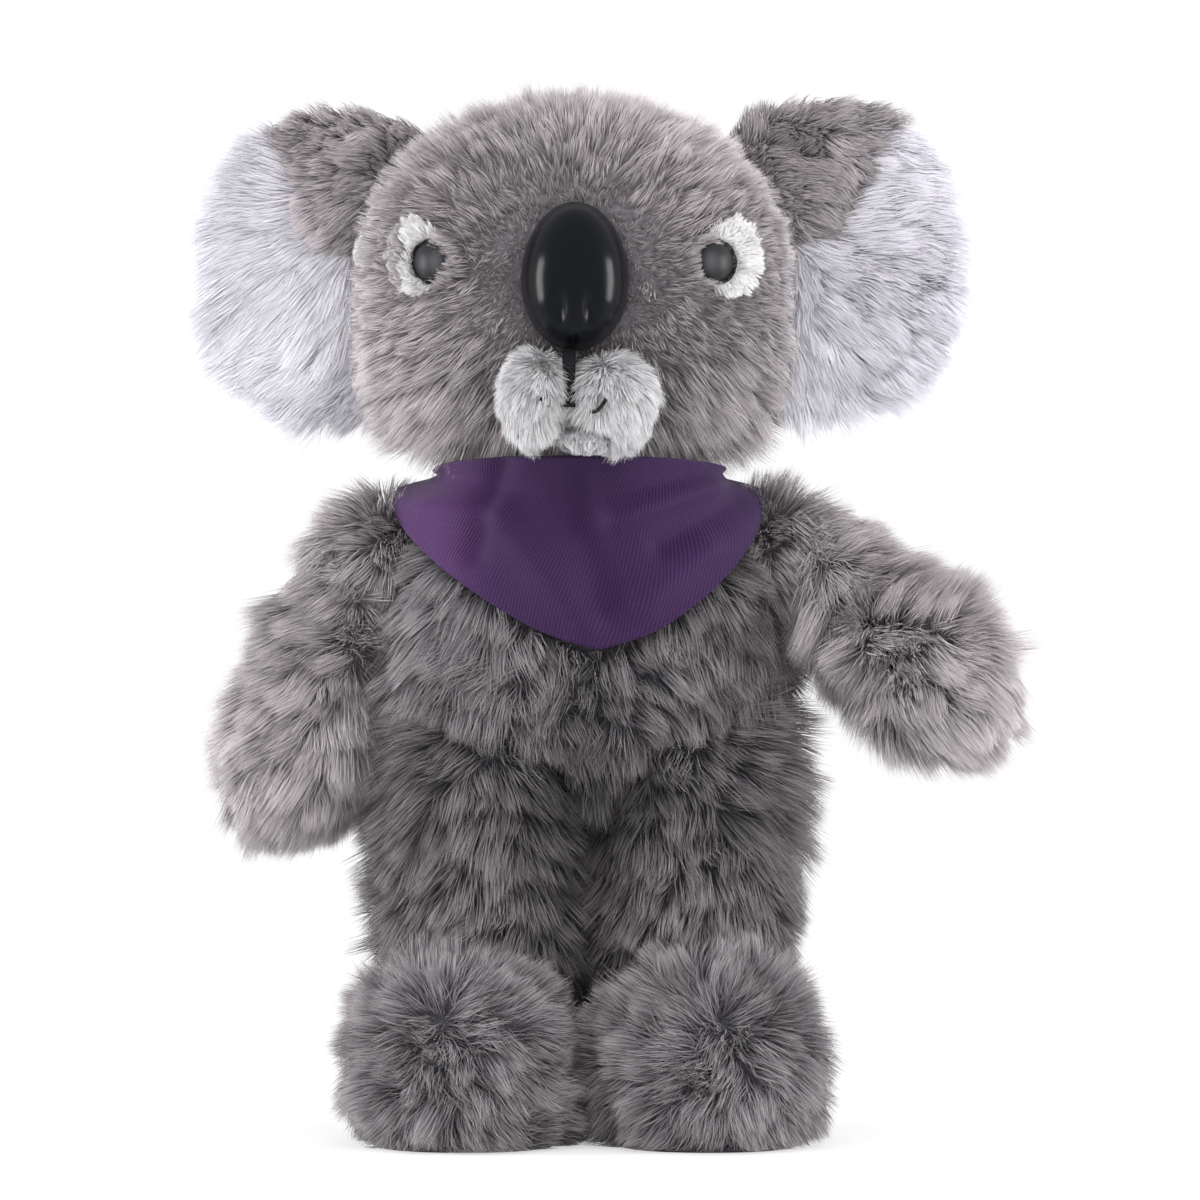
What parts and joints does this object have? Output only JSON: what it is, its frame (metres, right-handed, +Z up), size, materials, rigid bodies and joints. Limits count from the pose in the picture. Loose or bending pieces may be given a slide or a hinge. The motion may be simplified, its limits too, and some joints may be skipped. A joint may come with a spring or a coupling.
{
  "type": "plush koala",
  "caption": "Standing stuffed toy koala with a turning head, folding ears, swinging arms and legs, and a tied bandana.",
  "frame": {"origin": "on the floor under the middle of the whole toy's box", "axes": "+Z up, the koala faces -Y, its own left side is +X"},
  "size_m": [0.2299, 0.1154, 0.3012],
  "materials": {
    "grey_plush": "long pile plush, grey with paler tips",
    "dark_plush": "long pile plush, dark grey",
    "white_plush": "long pile plush, white",
    "muzzle_plush": "short pile plush, white",
    "bandana_cloth": "purple twill",
    "nose_plastic": "glossy black",
    "eye_plastic": "glossy dark grey",
    "washer_plastic": "natural nylon",
    "black_thread": "black thread"
  },
  "bodies": {
    "torso": {"torso": "dark_plush", "bandana": "bandana_cloth", "bandana_knot": "bandana_cloth", "bandana_tail_right": "bandana_cloth", "bandana_tail_left": "bandana_cloth"},
    "neck": {"neck": "grey_plush"},
    "head": {"head": "grey_plush", "muzzle_right": "muzzle_plush", "muzzle_left": "muzzle_plush", "chin": "muzzle_plush", "philtrum_stitch": "black_thread", "mouth_stitch_right": "black_thread", "mouth_stitch_left": "black_thread", "nose": "nose_plastic", "nose_washer": "washer_plastic", "eye_right": "eye_plastic", "eye_left": "eye_plastic", "eye_washer_right": "washer_plastic", "eye_washer_left": "washer_plastic", "eye_patch_right": "white_plush", "eye_patch_left": "white_plush"},
    "ear_right": {"ear_front_right": "white_plush", "ear_back_right": "grey_plush"},
    "ear_left": {"ear_front_left": "white_plush", "ear_back_left": "grey_plush"},
    "shoulder_right": {"shoulder_right": "grey_plush"},
    "shoulder_left": {"shoulder_left": "grey_plush"},
    "arm_right": {"arm_right": "grey_plush"},
    "arm_left": {"arm_left": "grey_plush"},
    "leg_right": {"leg_right": "dark_plush", "foot_right": "dark_plush", "sole_right": "dark_plush"},
    "leg_left": {"leg_left": "dark_plush", "foot_left": "dark_plush", "sole_left": "dark_plush"}
  },
  "joints": [
    {"name": "neck_turn", "type": "hinge", "parent": "torso", "child": "neck", "pos_m": [-0.008, 0.008, 0.197], "axis": [0, 0, 1], "range_deg": [-45, 45], "stiffness_Nm_per_rad": 0.4},
    {"name": "head_nod", "type": "hinge", "parent": "neck", "child": "head", "pos_m": [-0.008, 0.008, 0.197], "axis": [1, 0, 0], "range_deg": [-20, 8], "stiffness_Nm_per_rad": 0.8},
    {"name": "ear_fold_right", "type": "hinge", "parent": "head", "child": "ear_right", "pos_m": [-0.068, 0.012, 0.2515], "axis": [0, 0, -1], "range_deg": [-25, 25], "stiffness_Nm_per_rad": 0.05},
    {"name": "ear_fold_left", "type": "hinge", "parent": "head", "child": "ear_left", "pos_m": [0.052, 0.012, 0.2515], "axis": [0, 0, 1], "range_deg": [-25, 25], "stiffness_Nm_per_rad": 0.05},
    {"name": "arm_swing_right", "type": "hinge", "parent": "torso", "child": "shoulder_right", "pos_m": [-0.065, 0.011, 0.169], "axis": [-1, 0, 0], "range_deg": [-40, 100], "stiffness_Nm_per_rad": 0.3},
    {"name": "arm_raise_right", "type": "hinge", "parent": "shoulder_right", "child": "arm_right", "pos_m": [-0.065, 0.011, 0.169], "axis": [0, 1, 0], "range_deg": [0, 58], "stiffness_Nm_per_rad": 0.3},
    {"name": "arm_swing_left", "type": "hinge", "parent": "torso", "child": "shoulder_left", "pos_m": [0.049, 0.011, 0.169], "axis": [-1, 0, 0], "range_deg": [-75, 65], "stiffness_Nm_per_rad": 0.3},
    {"name": "arm_raise_left", "type": "hinge", "parent": "shoulder_left", "child": "arm_left", "pos_m": [0.049, 0.011, 0.169], "axis": [0, -0.8192, 0.5736], "range_deg": [-26, 32], "stiffness_Nm_per_rad": 0.3},
    {"name": "leg_swing_right", "type": "hinge", "parent": "torso", "child": "leg_right", "pos_m": [-0.0358, 0.008, 0.106], "axis": [-1, 0, 0], "range_deg": [-20, 55], "stiffness_Nm_per_rad": 1},
    {"name": "leg_swing_left", "type": "hinge", "parent": "torso", "child": "leg_left", "pos_m": [0.0242, 0.008, 0.106], "axis": [-1, 0, 0], "range_deg": [-20, 55], "stiffness_Nm_per_rad": 1}
  ]
}
